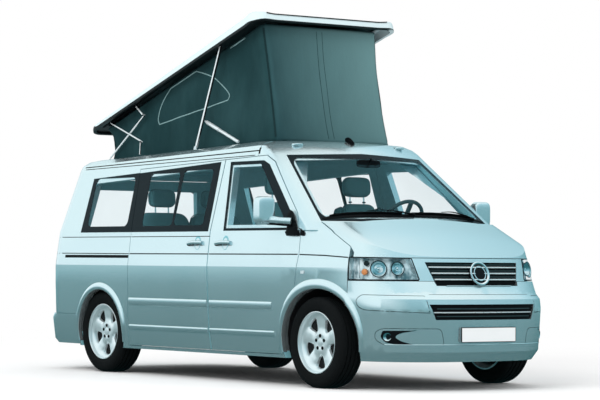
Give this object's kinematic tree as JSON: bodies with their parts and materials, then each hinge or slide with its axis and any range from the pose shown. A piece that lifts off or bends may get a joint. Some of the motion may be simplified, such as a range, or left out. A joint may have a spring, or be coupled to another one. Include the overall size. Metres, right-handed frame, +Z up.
{
  "type": "camper van",
  "caption": "One-box camper van with a side-folding fabric pop-up roof raised at the front, glazed sides, sliding side door, hinged cab doors, bonnet and tailgate, on alloy wheels.",
  "frame": {"origin": "on the ground, under the middle of the van's box", "axes": "+X to the van's nose, +Y to its left side, +Z up"},
  "size_m": [4.89, 2.282, 2.8944],
  "materials": {
    "paint": "metallic lacquer",
    "painted_plastic": "metallic lacquer",
    "dark_plastic": "grained",
    "roof_plastic": "smooth",
    "glass": "clear tinted",
    "lamp_glass": "clear",
    "red_lamp": "glossy",
    "canvas": "woven",
    "seat_fabric": "woven",
    "cabinet_board": "satin",
    "underbody_steel": "matt",
    "steel": "as cast",
    "dark_steel": "satin",
    "aluminium": "satin",
    "alloy": "lacquered",
    "tyre": "matt",
    "plate": "smooth"
  },
  "bodies": {
    "body": {"canvas": "canvas", "dashboard": "dark_plastic", "engine_block": "steel", "floor_pan": "underbody_steel", "front_bumper": "painted_plastic", "front_cap": "paint", "front_plate": "plate", "front_seats": "seat_fabric", "front_wings": "paint", "grille_surround": "paint", "grilles": "dark_plastic", "headlamps": "lamp_glass", "kitchen_cabinet": "cabinet_board", "rear_bench": "seat_fabric", "rear_bumper": "painted_plastic", "roof_frame": "paint", "screen_frame": "paint", "side_glass": "glass", "side_left": "paint", "side_right": "paint", "sill_beams": "underbody_steel", "sliding_door": "paint", "subframes": "steel", "tail_lamps": "red_lamp", "tank_and_exhaust": "dark_steel", "wheelhouses": "underbody_steel", "windscreen": "glass"},
    "door_left": {"front_door_left": "paint", "door_glass_left": "glass", "mirror_left": "painted_plastic"},
    "door_right": {"front_door_right": "paint", "door_glass_right": "glass", "mirror_right": "painted_plastic"},
    "tailgate": {"tailgate": "paint", "tailgate_glass": "glass", "rear_plate": "plate"},
    "bonnet": {"bonnet": "paint"},
    "roof": {"roof_shell": "roof_plastic"},
    "struts": {"roof_struts": "aluminium"},
    "long_links": {"rear_long_links": "aluminium"},
    "short_links": {"rear_short_links": "aluminium"},
    "long_elbows": {"rear_long_elbows": "aluminium"},
    "short_elbows": {"rear_short_elbows": "aluminium"},
    "steering_wheel": {"steering_wheel": "dark_plastic"},
    "knuckle_left": {"knuckle_left": "steel"},
    "knuckle_right": {"knuckle_right": "steel"},
    "wheel_front_left": {"rim_front_left": "alloy", "tyre_front_left": "tyre"},
    "wheel_front_right": {"rim_front_right": "alloy", "tyre_front_right": "tyre"},
    "wheel_rear_left": {"rim_rear_left": "alloy", "tyre_rear_left": "tyre"},
    "wheel_rear_right": {"rim_rear_right": "alloy", "tyre_rear_right": "tyre"},
    "spring_tubes": {"spring_tubes": "aluminium"},
    "spring_rods": {"spring_rods": "steel"}
  },
  "joints": [
    {"name": "steer_left", "type": "hinge", "parent": "body", "child": "knuckle_left", "pos_m": [1.551, 0.735, 0.338], "axis": [0, 0, 1], "range_deg": [-35, 35]},
    {"name": "steer_right", "type": "hinge", "parent": "body", "child": "knuckle_right", "pos_m": [1.551, -0.735, 0.338], "axis": [0, 0, 1], "range_deg": [-35, 35]},
    {"name": "front_left_wheel", "type": "hinge", "parent": "knuckle_left", "child": "wheel_front_left", "pos_m": [1.551, 0.814, 0.338], "axis": [0, 1, 0], "continuous": true},
    {"name": "front_right_wheel", "type": "hinge", "parent": "knuckle_right", "child": "wheel_front_right", "pos_m": [1.551, -0.814, 0.338], "axis": [0, 1, 0], "continuous": true},
    {"name": "rear_left_wheel", "type": "hinge", "parent": "body", "child": "wheel_rear_left", "pos_m": [-1.449, 0.814, 0.338], "axis": [0, 1, 0], "continuous": true},
    {"name": "rear_right_wheel", "type": "hinge", "parent": "body", "child": "wheel_rear_right", "pos_m": [-1.449, -0.814, 0.338], "axis": [0, 1, 0], "continuous": true},
    {"name": "steering_wheel_turn", "type": "hinge", "parent": "body", "child": "steering_wheel", "pos_m": [0.93, 0.385, 1.255], "axis": [-0.848, 0, 0.5299], "range_deg": [-561, 561]},
    {"name": "door_left_swing", "type": "hinge", "parent": "body", "child": "door_left", "pos_m": [1.352, 0.955, 0.8], "axis": [0, 0, -1], "range_deg": [0, 70]},
    {"name": "door_right_swing", "type": "hinge", "parent": "body", "child": "door_right", "pos_m": [1.352, -0.955, 0.8], "axis": [0, 0, 1], "range_deg": [0, 70]},
    {"name": "tailgate_lift", "type": "hinge", "parent": "body", "child": "tailgate", "pos_m": [-2.322, 0, 1.655], "axis": [0, 1, 0], "range_deg": [0, 85]},
    {"name": "bonnet_lift", "type": "hinge", "parent": "body", "child": "bonnet", "pos_m": [1.49, 0, 1.262], "axis": [0, -1, 0], "range_deg": [0, 50]},
    {"name": "roof_lift", "type": "hinge", "parent": "body", "child": "roof", "pos_m": [-2.875, 0, 1.902], "axis": [0, 1, 0], "range_deg": [0, 15.8], "deforming": ["canvas"]},
    {"name": "strut_fold", "type": "hinge", "parent": "body", "child": "struts", "pos_m": [-0.45, 0, 1.86133], "axis": [0, 1, 0], "range_deg": [0, 65.5]},
    {"name": "long_link_fold", "type": "hinge", "parent": "body", "child": "long_links", "pos_m": [-1.853, 0, 1.81234], "axis": [0, 1, 0], "range_deg": [0, 30.75]},
    {"name": "long_elbow_fold", "type": "hinge", "parent": "long_links", "child": "long_elbows", "pos_m": [-1.315, 0, 2.157], "axis": [0, 1, 0], "range_deg": [-67.55, 0]},
    {"name": "short_link_fold", "type": "hinge", "parent": "roof", "child": "short_links", "pos_m": [-1.818, 0, 2.111], "axis": [0, 1, 0], "range_deg": [-37.27, 0]},
    {"name": "short_elbow_fold", "type": "hinge", "parent": "body", "child": "short_elbows", "pos_m": [-1.318, 0, 1.83102], "axis": [0, 1, 0], "range_deg": [0, 83]},
    {"name": "spring_fold", "type": "hinge", "parent": "body", "child": "spring_tubes", "pos_m": [0.112, 0, 1.88096], "axis": [0, 1, 0], "range_deg": [-23.46, 0]},
    {"name": "spring_slide", "type": "slide", "parent": "spring_tubes", "child": "spring_rods", "axis": [0.9315, 0, -0.3637], "range_m": [0, 0.1698]}
  ],
  "couplings": [
    {"joint": "steer_right", "follows": "steer_left", "ratio": 1},
    {"joint": "steering_wheel_turn", "follows": "steer_left", "ratio": 16},
    {"joint": "strut_fold", "follows": "roof_lift", "ratio": 4.1},
    {"joint": "long_link_fold", "follows": "roof_lift", "ratio": 1.94},
    {"joint": "long_elbow_fold", "follows": "roof_lift", "ratio": -4.269},
    {"joint": "short_link_fold", "follows": "roof_lift", "ratio": -2.3525},
    {"joint": "short_elbow_fold", "follows": "roof_lift", "ratio": 5.247},
    {"joint": "spring_fold", "follows": "roof_lift", "ratio": -1.4782},
    {"joint": "spring_slide", "follows": "roof_lift", "m_per_rad": 0.61386}
  ]
}
